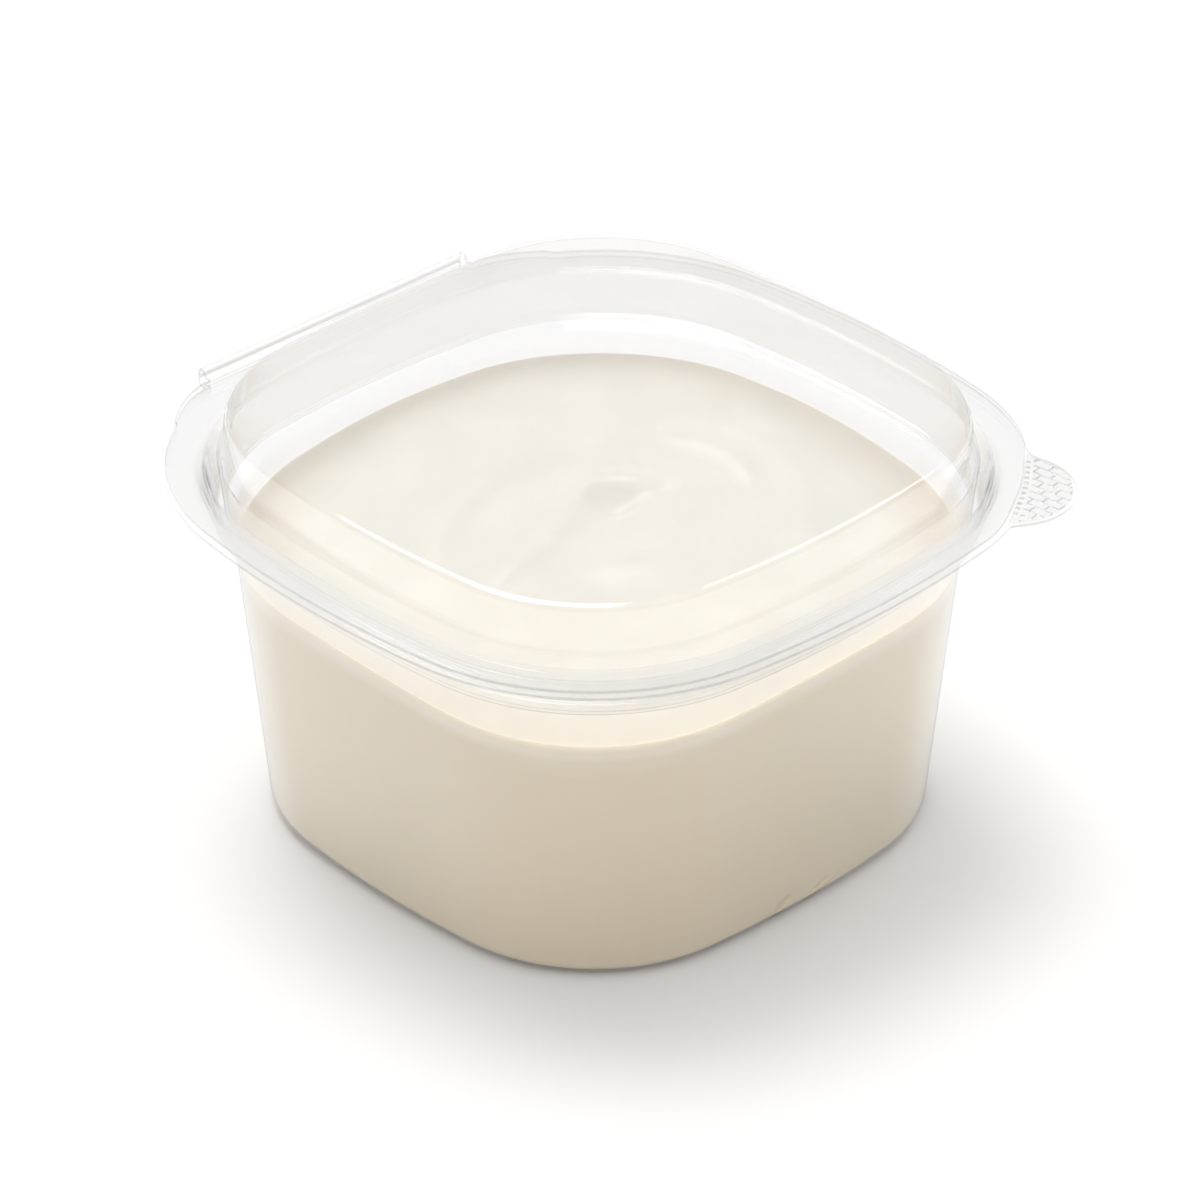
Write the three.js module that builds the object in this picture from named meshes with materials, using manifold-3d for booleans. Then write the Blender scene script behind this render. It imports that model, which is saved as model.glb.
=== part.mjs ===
// A clear square tub of mayonnaise with a hinged, domed lid.
// Millimetres, +Z up, origin at the middle of the underside.
// The hinge runs along X on the +Y side; the finger tab is on the +X -Y corner.
// The tub and the lid are thin formed sheet, and the mayonnaise fills the tub to its level.

import * as THREE from 'three';
import { mergeVertices } from 'three/addons/utils/BufferGeometryUtils.js';
import Module from 'manifold-3d';

// Sheet and the plan outline that every level shares
const sheet = 0.45;             // thickness of the formed sheet
const clearance = 0.3;          // between the mayonnaise and the sheet round it
const sideBow = 172;            // radius of the slight outward bow of each side
const steps = 56;               // straight pieces round the outline

// Tub: half-widths and corner radii, from the floor up to the flange
const panelHalfWidth = 26;      // flat middle of the floor
const channelRise = 0.8;        // stiffening channel between the middle and the foot
const channelWidth = 4.6;
const footHalfWidth = 40.2;
const footCorner = 24.9;
const bottomRadius = 2.6;       // rounded edge between the foot and the wall
const wallBottomHalfWidth = 43.2;  // a little way up, where the straight wall has begun
const wallBottomCorner = 27.9;
const wallBottomHeight = 7;
const wallTopHalfWidth = 47.2;
const wallTopCorner = 32.6;
const ledgeHeight = 47.2;       // stacking ledge, where the wall steps out
const ledgeRise = 0.7;
const ledgeRound = 0.5;
const ledgeHalfWidth = 49;
const collarTopHalfWidth = 50.9;
const collarTopCorner = 33.2;
const collarRound = 0.6;        // bend between the collar and the flange
const flangeHeight = 55.4;      // upper face of the tub's flange
const flangeHalfWidth = 55.4;
const flangeCorner = 37;

// Lid: its upper surface, from the middle of the dome out to the flange
const lidHeight = 64.15;
const domeHalfWidth = 46.3;
const domeCorner = 26.8;
const shoulderRadius = 1.2;     // rounded edge of the dome
const bandHeight = 57.8;        // low step in the dome's wall
const bandHalfWidth = 47.55;
const bandCorner = 28.7;
const bandStep = 0.35;
const bandDrop = 0.5;
const domeFootCorner = 29.9;
const plugDepth = 49.5;         // bottom of the groove that plugs into the tub
const plugHalfWidth = 48;
const plugCorner = 31.3;
const grooveHalfWidth = 49.85;
const grooveCorner = 32.8;
const grooveDraft = 1.5;        // how far the groove's outer wall leans in
const grooveRound = 0.6;
const lidFlangeHeight = 56.45;  // upper face of the lid's flange
const lidFlangeHalfWidth = 55;
const lidFlangeCorner = 35.6;

// Hinge bead: a hollow oval fold, in two halves that meet along the hinge line
const hingeLength = 51.2;
const hingeY = 56.4;            // middle of the oval
const hingeZ = 55.85;           // height of the hinge line
const hingeOvalY = 1;
const hingeOvalZ = 1.7;
const hingeSlit = 0.3;          // open slit between the two halves
const foldLine = 54.5;          // where the flat flange ends and the bead begins
const beadOverlap = 0.3;        // how far the flange runs into the bead's wall
const webReach = 37;            // how far the flange's fill beside the hinge runs out
const webEdge = 49.1;           // where that fill meets the flange's own edge
const webBendX = 31.5;
const webBendY = 54;
const webShoulder = 1.5;        // short straight edge between the fill and the bead
const webOverlap = 2.5;         // how far the fill laps over the flange

// Finger tab: a round lobe on the corner
const tabRadius = 9.9;
const tabX = 36.9;              // centre of the lobe
const tabY = -44.8;
const tabTurn = -56;            // degrees from +X to the way it points
const tabRootReach = 13.2;      // how far the rounds at its root run out
const tabRootLine = 0.2;
const tabRootRoundX = 0.5;
const tabRootRoundY = 1.4;
const tabNeckAngle = 0.36;      // where the lobe's arc begins, in radians

// Mayonnaise: level at the wall, and the shape of its surface
const wallLevel = 43.1;         // where it meets the wall, on average
const levelTilt = 0.021;        // rise per millimetre towards the +X +Y corner
const cornerDip = 0.6;          // how much it sinks in the corners and climbs at the sides
const contactDrop = 2.5;        // its lowest contact with the wall, under the average
const crown = 0.9;              // rise of the middle over the edge
const cling = 0.3;              // how far it climbs the wall
const clingReach = 3.6;
const rings = 20;               // rings of faces over the surface

// Where the nozzle left the surface: a dimple
const dimpleX = 7;
const dimpleY = 4.6;
const dimpleDepth = 2;
const dimpleRadius = 3.3;

// The swirl round it: arcs that die away at both ends, with their middle direction and half
// their span in degrees. Each is a ridge, or a groove where its height is below zero, and its
// inner and outer slopes have their own widths.
const swirlMarks = [
  { x: 3, y: -14, radius: 35, middle: 106, span: 46, height: 1.4, inner: 2.6, outer: 3.8 },
  { x: -23.8, y: 45.1, radius: 45, middle: -72, span: 19, height: 1.35, inner: 3.6, outer: 2 },
  { x: 7.4, y: 4.2, radius: 5.8, middle: 68, span: 110, height: 1.1, inner: 1.9, outer: 3.4 },
  { x: 8, y: 3, radius: 19.5, middle: 2, span: 38, height: 1.1, inner: 1.7, outer: 2.2 },
  { x: 6, y: 4.5, radius: 28.5, middle: -35, span: 75, height: 1.5, inner: 2.8, outer: 4.2 },
  { x: 6, y: 4.5, radius: 16.5, middle: -105, span: 60, height: 0.9, inner: 4, outer: 3.4 },
  { x: 0, y: -10, radius: 48, middle: 88, span: 34, height: 1, inner: 3, outer: 4 },
  { x: 8, y: -8, radius: 12, middle: 68, span: 36, height: -0.8, inner: 2.6, outer: 2 },
];
const fadeShare = 0.7;          // share of an arc's half span over which it dies away
const wallCalm = 0.3;           // how quickly the swirl grows from nothing at the wall

const wasm = await Module();
wasm.setup();

// Plan outline: four bowed sides joined by round corners, as a radius for each direction
function squareRadius(angle, halfWidth, cornerRadius) {
  const quarter = Math.PI / 2;
  const turned = ((angle % quarter) + quarter) % quarter;
  const folded = Math.min(turned, quarter - turned);
  const bowCentre = halfWidth - sideBow;
  const reach = sideBow - cornerRadius;
  const half = bowCentre / 2;
  const cornerCentre = half + Math.sqrt(half * half - (bowCentre * bowCentre - reach * reach) / 2);
  const touchX = bowCentre + (sideBow * (cornerCentre - bowCentre)) / reach;
  const touchY = (sideBow * cornerCentre) / reach;
  const c = Math.cos(folded);
  const s = Math.sin(folded);
  if (folded < Math.atan2(touchY, touchX)) {
    return bowCentre * c + Math.sqrt(sideBow ** 2 - (bowCentre * s) ** 2);
  }
  return cornerCentre * (c + s) + Math.sqrt(cornerRadius ** 2 - (cornerCentre * (c - s)) ** 2);
}

// A level of a profile: half-width, corner radius and height
function level(halfWidth, cornerRadius, z) {
  return { halfWidth, cornerRadius, z };
}

// Levels round a quarter turn between two levels, for rounded edges
function roundedEdge(from, radius, startAngle, endAngle, count) {
  const levels = [];
  for (let i = 0; i <= count; i += 1) {
    const angle = THREE.MathUtils.degToRad(THREE.MathUtils.lerp(startAngle, endAngle, i / count));
    const out = radius * Math.cos(angle);
    levels.push(level(from.halfWidth + out, from.cornerRadius + out, from.z + radius * Math.sin(angle)));
  }
  return levels;
}

// The same profile moved sideways, to the left of the way it runs
function offsetProfile(profile, distance) {
  const runs = profile.slice(1).map((after, i) => {
    return new THREE.Vector2(after.halfWidth - profile[i].halfWidth, after.z - profile[i].z).normalize();
  });
  return profile.map((point, i) => {
    const into = runs[Math.max(i - 1, 0)];
    const outOf = runs[Math.min(i, runs.length - 1)];
    const along = into.clone().add(outOf).normalize();
    const reach = distance / Math.max(along.dot(into), 0.5);
    const shift = point.halfWidth === 0 ? 0 : -along.y * reach;
    return level(point.halfWidth + shift, point.cornerRadius + shift, point.z + along.x * reach);
  });
}

// A closed body from a profile of levels, with an optional height for each level's points
function squareLathe(profile, heightAt) {
  const points = profile.map((p) => new THREE.Vector2(p.halfWidth, p.z));
  const geometry = new THREE.LatheGeometry(points, steps);
  const position = geometry.attributes.position;
  for (let i = 0; i <= steps; i += 1) {
    const angle = ((i % steps) / steps) * 2 * Math.PI - Math.PI / 2;
    profile.forEach((p, j) => {
      const radius = p.halfWidth > 0 ? squareRadius(angle, p.halfWidth, p.cornerRadius) : 0;
      const x = radius * Math.cos(angle);
      const y = radius * Math.sin(angle);
      position.setXYZ(i * profile.length + j, x, y, heightAt ? heightAt(x, y, j) : p.z);
    });
  }
  return geometry;
}

function toManifold(geometry) {
  const bare = geometry.clone();
  bare.deleteAttribute('normal');
  bare.deleteAttribute('uv');
  const merged = mergeVertices(bare, 1e-4);
  const index = merged.index.array;
  const triangles = [];
  for (let i = 0; i < index.length; i += 3) {
    const [a, b, c] = [index[i], index[i + 1], index[i + 2]];
    if (a !== b && b !== c && c !== a) triangles.push(a, b, c);
  }
  return new wasm.Manifold(new wasm.Mesh({
    numProp: 3,
    vertProperties: new Float32Array(merged.attributes.position.array),
    triVerts: new Uint32Array(triangles),
  }));
}

function toGeometry(manifold) {
  const mesh = manifold.getMesh();
  const geometry = new THREE.BufferGeometry();
  geometry.setAttribute('position', new THREE.BufferAttribute(new Float32Array(mesh.vertProperties), 3));
  geometry.setIndex(new THREE.BufferAttribute(new Uint32Array(mesh.triVerts), 1));
  geometry.computeVertexNormals();
  return geometry;
}

// The tub's outer surface, from the middle of the floor up and out to the flange's edge
function tubProfile() {
  const cornerShare = footCorner / footHalfWidth;
  const floorLevel = (halfWidth, z) => level(halfWidth, halfWidth * cornerShare, z);
  const channelEnd = panelHalfWidth + channelWidth;
  const edge = level(footHalfWidth, footCorner, bottomRadius);
  const flangeBottom = flangeHeight - sheet;
  return [
    floorLevel(0, 0),
    floorLevel(panelHalfWidth, 0),
    floorLevel(panelHalfWidth + channelRise, channelRise),
    floorLevel(channelEnd - channelRise, channelRise),
    floorLevel(channelEnd, 0),
    ...roundedEdge(edge, bottomRadius, -90, -8, 4),
    level(wallBottomHalfWidth, wallBottomCorner, wallBottomHeight),
    level(wallTopHalfWidth, wallTopCorner, ledgeHeight - ledgeRound),
    level(wallTopHalfWidth + ledgeRound, wallTopCorner, ledgeHeight),
    level(ledgeHalfWidth - ledgeRound, wallTopCorner, ledgeHeight + ledgeRise),
    level(ledgeHalfWidth, wallTopCorner, ledgeHeight + ledgeRise + ledgeRound),
    level(collarTopHalfWidth, collarTopCorner, flangeBottom - collarRound),
    level(collarTopHalfWidth + collarRound, collarTopCorner + collarRound, flangeBottom),
    level(flangeHalfWidth, flangeCorner, flangeBottom),
  ];
}

// The lid's upper surface, from the middle of the dome down through the groove to the edge
function lidProfile() {
  const shoulder = level(
    domeHalfWidth - shoulderRadius,
    domeCorner - shoulderRadius,
    lidHeight - shoulderRadius,
  );
  const plugRoundHeight = plugDepth + grooveRound;
  return [
    level(0, 0, lidHeight),
    ...roundedEdge(shoulder, shoulderRadius, 90, 0, 4),
    level(bandHalfWidth, bandCorner, bandHeight),
    level(bandHalfWidth + bandStep, bandCorner + bandStep, bandHeight - bandDrop),
    level(bandHalfWidth + bandStep, domeFootCorner, lidFlangeHeight),
    level(bandHalfWidth, plugCorner - grooveRound, plugRoundHeight),
    level(plugHalfWidth, plugCorner, plugDepth),
    level(grooveHalfWidth - grooveDraft, grooveCorner - grooveDraft, plugRoundHeight),
    level(grooveHalfWidth, grooveCorner, lidFlangeHeight - grooveRound),
    level(grooveHalfWidth + grooveRound, grooveCorner + grooveRound, lidFlangeHeight),
    level(lidFlangeHalfWidth, lidFlangeCorner, lidFlangeHeight),
  ];
}

const flatSheet = { depth: sheet, bevelEnabled: false };

// One sheet's fill from the flange out to the hinge line, and its half of the oval bead
function hingeHalf(flangeBottom, side) {
  const end = hingeLength / 2;
  const beadStart = hingeY - hingeOvalY + beadOverlap;
  const web = new THREE.Shape();
  web.moveTo(-webReach, webEdge - webOverlap);
  web.lineTo(-webReach, webEdge);
  web.quadraticCurveTo(-webBendX, webBendY, -end - webShoulder, foldLine);
  web.lineTo(-end, foldLine);
  web.lineTo(-end, beadStart);
  web.lineTo(end, beadStart);
  web.lineTo(end, foldLine);
  web.lineTo(end + webShoulder, foldLine);
  web.quadraticCurveTo(webBendX, webBendY, webReach, webEdge);
  web.lineTo(webReach, webEdge - webOverlap);
  web.lineTo(end, foldLine - webOverlap);
  web.lineTo(-end, foldLine - webOverlap);
  const webGeometry = new THREE.ExtrudeGeometry(web, { ...flatSheet, curveSegments: 6 });
  webGeometry.translate(0, 0, flangeBottom);

  const cut = Math.asin(hingeSlit / 2 / hingeOvalZ);
  const bead = new THREE.Shape();
  bead.absellipse(0, 0, hingeOvalY, hingeOvalZ, cut, Math.PI - cut, false);
  bead.absellipse(0, 0, hingeOvalY - sheet, hingeOvalZ - sheet, Math.PI - cut, cut, true);
  const beadGeometry = new THREE.ExtrudeGeometry(bead, {
    depth: hingeLength,
    bevelEnabled: false,
    curveSegments: 8,
  });
  const place = new THREE.Matrix4().makeBasis(
    new THREE.Vector3(0, side, 0),
    new THREE.Vector3(0, 0, side),
    new THREE.Vector3(1, 0, 0),
  );
  beadGeometry.applyMatrix4(place);
  beadGeometry.translate(-end, hingeY, hingeZ);
  return toManifold(webGeometry).add(toManifold(beadGeometry));
}

// The finger tab's lobe, with a small round at each side where it leaves the flange
function fingerTab() {
  const neck = tabRadius * Math.cos(tabNeckAngle);
  const neckY = tabRadius * Math.sin(tabNeckAngle);
  const shape = new THREE.Shape();
  shape.moveTo(-tabRootReach, tabRootLine);
  shape.quadraticCurveTo(-neck - tabRootRoundX, tabRootRoundY, -neck, neckY);
  shape.absarc(0, 0, tabRadius, Math.PI - tabNeckAngle, tabNeckAngle, true);
  shape.quadraticCurveTo(neck + tabRootRoundX, tabRootRoundY, tabRootReach, tabRootLine);
  const geometry = new THREE.ExtrudeGeometry(shape, { ...flatSheet, curveSegments: 14 });
  geometry.rotateZ(THREE.MathUtils.degToRad(tabTurn - 90));
  geometry.translate(tabX, tabY, flangeHeight - sheet);
  return toManifold(geometry);
}

// The swirl and the dimple, as a height over the smooth surface
function swirlRelief(x, y) {
  const fromDimple = Math.hypot(x - dimpleX, y - dimpleY) / dimpleRadius;
  let relief = -dimpleDepth * Math.exp(-(fromDimple ** 2));
  swirlMarks.forEach((mark) => {
    const distance = Math.hypot(x - mark.x, y - mark.y) - mark.radius;
    const direction = THREE.MathUtils.radToDeg(Math.atan2(y - mark.y, x - mark.x));
    const turned = Math.abs(THREE.MathUtils.euclideanModulo(direction - mark.middle + 180, 360) - 180);
    const fade = THREE.MathUtils.smoothstep(mark.span - turned, 0, mark.span * fadeShare);
    const width = distance < 0 ? mark.inner : mark.outer;
    relief += mark.height * fade * Math.exp(-((distance / width) ** 2));
  });
  return relief;
}

// Height of the mayonnaise: a level that rises a little towards the far corner, a low crown
// inside the cling at the wall, and the swirl; inward is 0 at the wall and 1 in the middle
function mayonnaiseHeight(x, y, inward) {
  const corner = Math.cos(4 * Math.atan2(y, x));
  const edge = wallLevel + levelTilt * (x + y) + cornerDip * corner * (1 - inward);
  const rise = crown * (1 - (1 - inward) ** 3);
  const sink = cling * (1 - Math.exp((-inward * wallTopHalfWidth) / clingReach));
  return edge + rise - sink + swirlRelief(x, y) * inward ** wallCalm;
}

// The mayonnaise: the tub's inside up to the level, closed by the swirled surface
function mayonnaise() {
  const inside = offsetProfile(tubProfile(), sheet + clearance);
  const lowestContact = wallLevel - contactDrop;
  const wetted = inside.filter((p) => p.z < lowestContact);
  const below = wetted[wetted.length - 1];
  const above = inside[wetted.length];
  const share = (lowestContact - below.z) / (above.z - below.z);
  const halfWidth = THREE.MathUtils.lerp(below.halfWidth, above.halfWidth, share);
  const cornerRadius = THREE.MathUtils.lerp(below.cornerRadius, above.cornerRadius, share);
  const surface = [];
  for (let ring = 0; ring <= rings; ring += 1) {
    const scale = 1 - ring / rings;
    surface.push(level(halfWidth * scale, cornerRadius * scale, wallLevel));
  }
  const profile = [...wetted, ...surface];
  return squareLathe(profile, (x, y, j) => {
    if (j < wetted.length) return profile[j].z;
    return mayonnaiseHeight(x, y, (j - wetted.length) / rings);
  });
}

function shell(profile, thickness) {
  return toManifold(squareLathe([...profile, ...offsetProfile(profile, thickness).reverse()]));
}

const tubShell = shell(tubProfile(), sheet)
  .add(fingerTab())
  .add(hingeHalf(flangeHeight - sheet, -1));

const lidUpper = lidProfile();
const lidUnder = offsetProfile(lidUpper, -sheet);
const lidShell = toManifold(squareLathe([...lidUnder, ...lidUpper.reverse()]))
  .add(hingeHalf(lidFlangeHeight - sheet, 1));

const clearSheet = new THREE.MeshStandardMaterial({
  color: 0xe9edee,
  roughness: 0.08,
  metalness: 0,
  transparent: true,
  opacity: 0.3,
  side: THREE.DoubleSide,
});
const creamyMayonnaise = new THREE.MeshStandardMaterial({ color: 0xf1ead9, roughness: 0.45, metalness: 0 });

const tub = new THREE.Mesh(toGeometry(tubShell), clearSheet);
tub.name = 'tub';
const lid = new THREE.Mesh(toGeometry(lidShell), clearSheet);
lid.name = 'lid';
const filling = new THREE.Mesh(mayonnaise(), creamyMayonnaise);
filling.name = 'mayonnaise';

const part = new THREE.Group();
part.add(tub, lid, filling);

export default part;
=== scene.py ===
import math

import bmesh
import bpy
import numpy as np
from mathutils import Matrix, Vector


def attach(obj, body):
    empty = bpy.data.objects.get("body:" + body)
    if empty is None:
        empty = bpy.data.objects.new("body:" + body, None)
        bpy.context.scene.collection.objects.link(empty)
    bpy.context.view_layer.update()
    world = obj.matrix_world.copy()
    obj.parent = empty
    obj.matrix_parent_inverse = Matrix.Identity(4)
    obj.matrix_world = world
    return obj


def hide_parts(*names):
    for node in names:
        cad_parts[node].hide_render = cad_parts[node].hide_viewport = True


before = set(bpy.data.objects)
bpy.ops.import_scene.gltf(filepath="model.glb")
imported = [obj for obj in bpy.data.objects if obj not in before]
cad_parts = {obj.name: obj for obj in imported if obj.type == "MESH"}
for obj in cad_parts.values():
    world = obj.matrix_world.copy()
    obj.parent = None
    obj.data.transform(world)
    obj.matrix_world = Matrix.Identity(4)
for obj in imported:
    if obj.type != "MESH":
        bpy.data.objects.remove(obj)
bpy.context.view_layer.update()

# A clear square tub of mayonnaise with a hinged, domed lid.
# Sizes are in millimetres and become metres when a mesh is made.
metresPerMillimetre = 0.001
weldDistance = 2e-6            # metres; points of a mesh closer than this become one
shortestEdge = 1e-7            # metres; a shorter edge is dissolved
fullCircle = 2 * math.pi

# What the tub and the lid share: the formed sheet and the rounded-square outline of every level
formedSheet = {
    "thickness": 0.45,
    "sideBow": 172,            # radius of the slight outward bow of each side
    "columns": 288,            # points round the outline
    "closestColumns": 1e-5,    # radians; closer directions become one
    "bendRadius": 0.75,        # how softly the sheet turns from one level to the next
    "bendPoints": 6,
    "bendShare": 0.48,         # most of a stretch that the bend at one end may use up
    "smallestBend": 3.0,       # degrees; a smaller turn is left as it is
    "longestRow": 3.0,         # longer stretches of a profile are divided
    "shortestRow": 1e-4,       # and shorter ones dropped
    "mitre": 0.5,              # keeps an offset point near where the profile turns sharply
}


# Plan outline: four bowed sides joined by round corners, as a radius for each direction
def squareRadius(angle, halfWidth, cornerRadius):
    quarter = math.pi / 2
    bow = formedSheet["sideBow"]
    turned = np.mod(angle, quarter)
    folded = np.minimum(turned, quarter - turned)     # every eighth of the outline is alike
    bowCentre = halfWidth - bow
    reach = bow - cornerRadius
    half = bowCentre / 2
    cornerCentre = half + np.sqrt(half ** 2 - (bowCentre ** 2 - reach ** 2) / 2)
    touchX = bowCentre + bow * (cornerCentre - bowCentre) / reach
    touchY = bow * cornerCentre / reach
    c, s = np.cos(folded), np.sin(folded)
    side = bowCentre * c + np.sqrt(bow ** 2 - (bowCentre * s) ** 2)
    inside = np.maximum(cornerRadius ** 2 - (cornerCentre * (c - s)) ** 2, 0)
    corner = cornerCentre * (c + s) + np.sqrt(inside)
    return np.where(folded < np.arctan2(touchY, touchX), side, corner)


# A profile is rows of half-width, corner radius and height. Its bends are rounded here,
# and its long stretches divided
def softenProfile(levels, bendRadius, longestRow):
    levels = np.array(levels, float)
    path = [levels[0]]
    for before, here, after in zip(levels[:-2], levels[1:-1], levels[2:]):
        into, outOf = here - before, after - here
        lengthIn, lengthOut = math.hypot(into[0], into[2]), math.hypot(outOf[0], outOf[2])
        cosine = (into[0] * outOf[0] + into[2] * outOf[2]) / (lengthIn * lengthOut)
        turn = math.acos(min(1, max(-1, cosine)))
        if turn < math.radians(formedSheet["smallestBend"]):
            path.append(here)
            continue
        most = formedSheet["bendShare"]
        cut = min(bendRadius * math.tan(turn / 2), most * lengthIn, most * lengthOut)
        start, end = here - into * cut / lengthIn, here + outOf * cut / lengthOut
        for t in np.linspace(0, 1, formedSheet["bendPoints"]):
            path.append(start * (1 - t) ** 2 + here * 2 * t * (1 - t) + end * t ** 2)
    path.append(levels[-1])
    divided = [path[0]]
    for before, here in zip(path[:-1], path[1:]):
        length = math.hypot(here[0] - before[0], here[2] - before[2])
        if length < formedSheet["shortestRow"]:
            continue
        pieces = max(1, math.ceil(length / longestRow))
        divided += [before + (here - before) * (i + 1) / pieces for i in range(pieces)]
    return np.array(divided)


# The same profile moved sideways, to the left of the way it runs
def offsetProfile(profile, distance):
    steps = np.diff(profile[:, [0, 2]], axis=0)
    steps /= np.linalg.norm(steps, axis=1)[:, None]
    into = np.vstack([steps[:1], steps])
    outOf = np.vstack([steps, steps[-1:]])
    along = into + outOf
    along /= np.linalg.norm(along, axis=1)[:, None]
    reach = distance / np.maximum((along * into).sum(1), formedSheet["mitre"])
    sideways = np.where(profile[:, 0] == 0, 0, -along[:, 1] * reach)
    return profile + np.column_stack([sideways, sideways, along[:, 0] * reach])


# Points round an edge of a profile, from one angle to another
def roundedEdge(halfWidth, cornerRadius, z, radius, startAngle, endAngle, points):
    angles = np.radians(np.linspace(startAngle, endAngle, points))
    return [(halfWidth + radius * math.cos(a), cornerRadius + radius * math.cos(a),
             z + radius * math.sin(a)) for a in angles]


# Rows of points, one row for each level and one column for each direction
def squareGrid(profile, angles):
    radius = squareRadius(angles[None, :], profile[:, 0:1], profile[:, 1:2])
    radius = np.where(profile[:, 0:1] > 0, radius, 0)
    height = np.repeat(profile[:, 2:3], len(angles), axis=1)
    return np.stack([radius * np.cos(angles), radius * np.sin(angles), height], axis=2)


# Faces between the rows of a grid; skip leaves out faces by row and column
def gridFaces(rows, columns, closed, skip=None):
    faces = []
    for row in range(rows - 1):
        for column in range(columns if closed else columns - 1):
            if skip and skip(row, column):
                continue
            after = (column + 1) % columns
            low, high = row * columns, (row + 1) * columns
            faces.append((low + column, low + after, high + after, high + column))
    return faces


# Joins parts that each have their own points and faces
def joinParts(parts):
    points, faces = [], []
    for partPoints, partFaces in parts:
        faces += [tuple(len(points) + corner for corner in face) for face in partFaces]
        points += list(partPoints)
    return points, faces


# Makes an object from points in millimetres. materialOfFace picks one of the materials for
# each face, and pointValues is one named number for each point, for a material to read
def makePiece(name, points, faces, materials, materialOfFace=None, sharpAngle=38,
              pointValues=None):
    mesh = bpy.data.meshes.new(name)
    mesh.from_pydata((np.asarray(points) * metresPerMillimetre).tolist(), [], faces)
    for material in materials:
        mesh.materials.append(material)
    if materialOfFace is not None:
        mesh.polygons.foreach_set("material_index", materialOfFace)
    if pointValues is not None:
        label, values = pointValues
        attribute = mesh.attributes.new(label, "FLOAT", "POINT")
        attribute.data.foreach_set("value", values.astype(np.float32))
    work = bmesh.new()
    work.from_mesh(mesh)
    bmesh.ops.remove_doubles(work, verts=work.verts, dist=weldDistance)
    bmesh.ops.dissolve_degenerate(work, edges=work.edges, dist=shortestEdge)
    bmesh.ops.recalc_face_normals(work, faces=work.faces)
    work.to_mesh(mesh)
    work.free()
    mesh.shade_smooth()
    mesh.set_sharp_from_angle(angle=math.radians(sharpAngle))
    piece = bpy.data.objects.new(name, mesh)
    bpy.context.collection.objects.link(piece)
    return piece


# Directions of the columns: even all round, with more where a small form needs them
def columnAngles(*extra):
    even = np.linspace(-math.pi, math.pi, formedSheet["columns"], endpoint=False)
    angles = np.concatenate([even, *[np.atleast_1d(e) for e in extra]])
    angles = np.sort(np.mod(angles + math.pi, fullCircle) - math.pi)
    return angles[np.concatenate([[True], np.diff(angles) > formedSheet["closestColumns"]])]


# Extra directions on both sides of a middle one, given in degrees except for the middle
def directionsAround(middle, span, step):
    return middle + np.radians(np.arange(-span, span, step))


# How far each direction is from a given one, all in degrees
def degreesAway(directions, middle):
    return np.abs(np.mod(directions - middle + 180, 360) - 180)


# Radius of a drawn outline in each direction, and 0 where it doesn't reach
def outlineRadius(points, angles):
    points = np.array(points, float)
    drawn = np.arctan2(points[:, 1], points[:, 0])
    order = np.argsort(drawn)
    radius = np.hypot(points[:, 0], points[:, 1])[order]
    return np.interp(angles, drawn[order], radius, left=0, right=0)


def quadraticCurve(start, control, end, count):
    t = np.linspace(0, 1, count)[:, None]
    start, control, end = np.array(start, float), np.array(control, float), np.array(end, float)
    return start * (1 - t) ** 2 + control * 2 * t * (1 - t) + end * t ** 2


def smoothStep(value, low, high):
    t = np.clip((value - low) / (high - low), 0, 1)
    return t * t * (3 - 2 * t)


# Colours are given as sRGB hex and used as linear light
def linearColour(hexValue, alpha=1.0):
    channels = [int(hexValue[i:i + 2], 16) / 255 for i in (1, 3, 5)]
    linear = [c / 12.92 if c <= 0.04045 else ((c + 0.055) / 1.055) ** 2.4 for c in channels]
    return (*linear, alpha)


white = linearColour("#ffffff")
colourA, colourB, mixedColour = 6, 7, 2    # a Mix node's two colour inputs and its colour output


# Adds one node with its settings; an input is a value, or another node's output to link
def addNode(tree, kind, settings=None, inputs=None):
    node = tree.nodes.new(kind)
    for name, value in (settings or {}).items():
        setattr(node, name, value)
    for name, value in (inputs or {}).items():
        if isinstance(value, bpy.types.NodeSocket):
            tree.links.new(value, node.inputs[name])
        else:
            node.inputs[name].default_value = value
    return node


def newMaterial(name):
    material = bpy.data.materials.new(name)
    material.use_nodes = True
    material.node_tree.nodes.clear()
    return material, material.node_tree


# Thermoformed PET: a clear, hard, glossy sheet. Straight on it only takes a little off what
# is behind it; seen along its surface it is greyer and mirrors the room.
petLooks = {
    "faceTint": "#fdfdfd",     # what one face lets through, straight on
    "faceEdge": "#cccccc",     # and what it lets through and mirrors seen along the sheet
    "cutTint": "#dedede",      # the same two for the cut edge, where light runs the
    "cutEdge": "#868686",      # length of the sheet
    "embossTint": "#ededed",   # the pressed ribs of the finger tab, which scatter light
    "edgeFall": 12.0,          # how quickly a face turns to its edge colour
    "facingGloss": 0.08,       # share mirrored straight on; PET's IOR of 1.57 alone gives 0.05
    "glossRise": 3.0,          # how the mirrored share grows towards the edge
    "roughness": 0.04,
}


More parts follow.
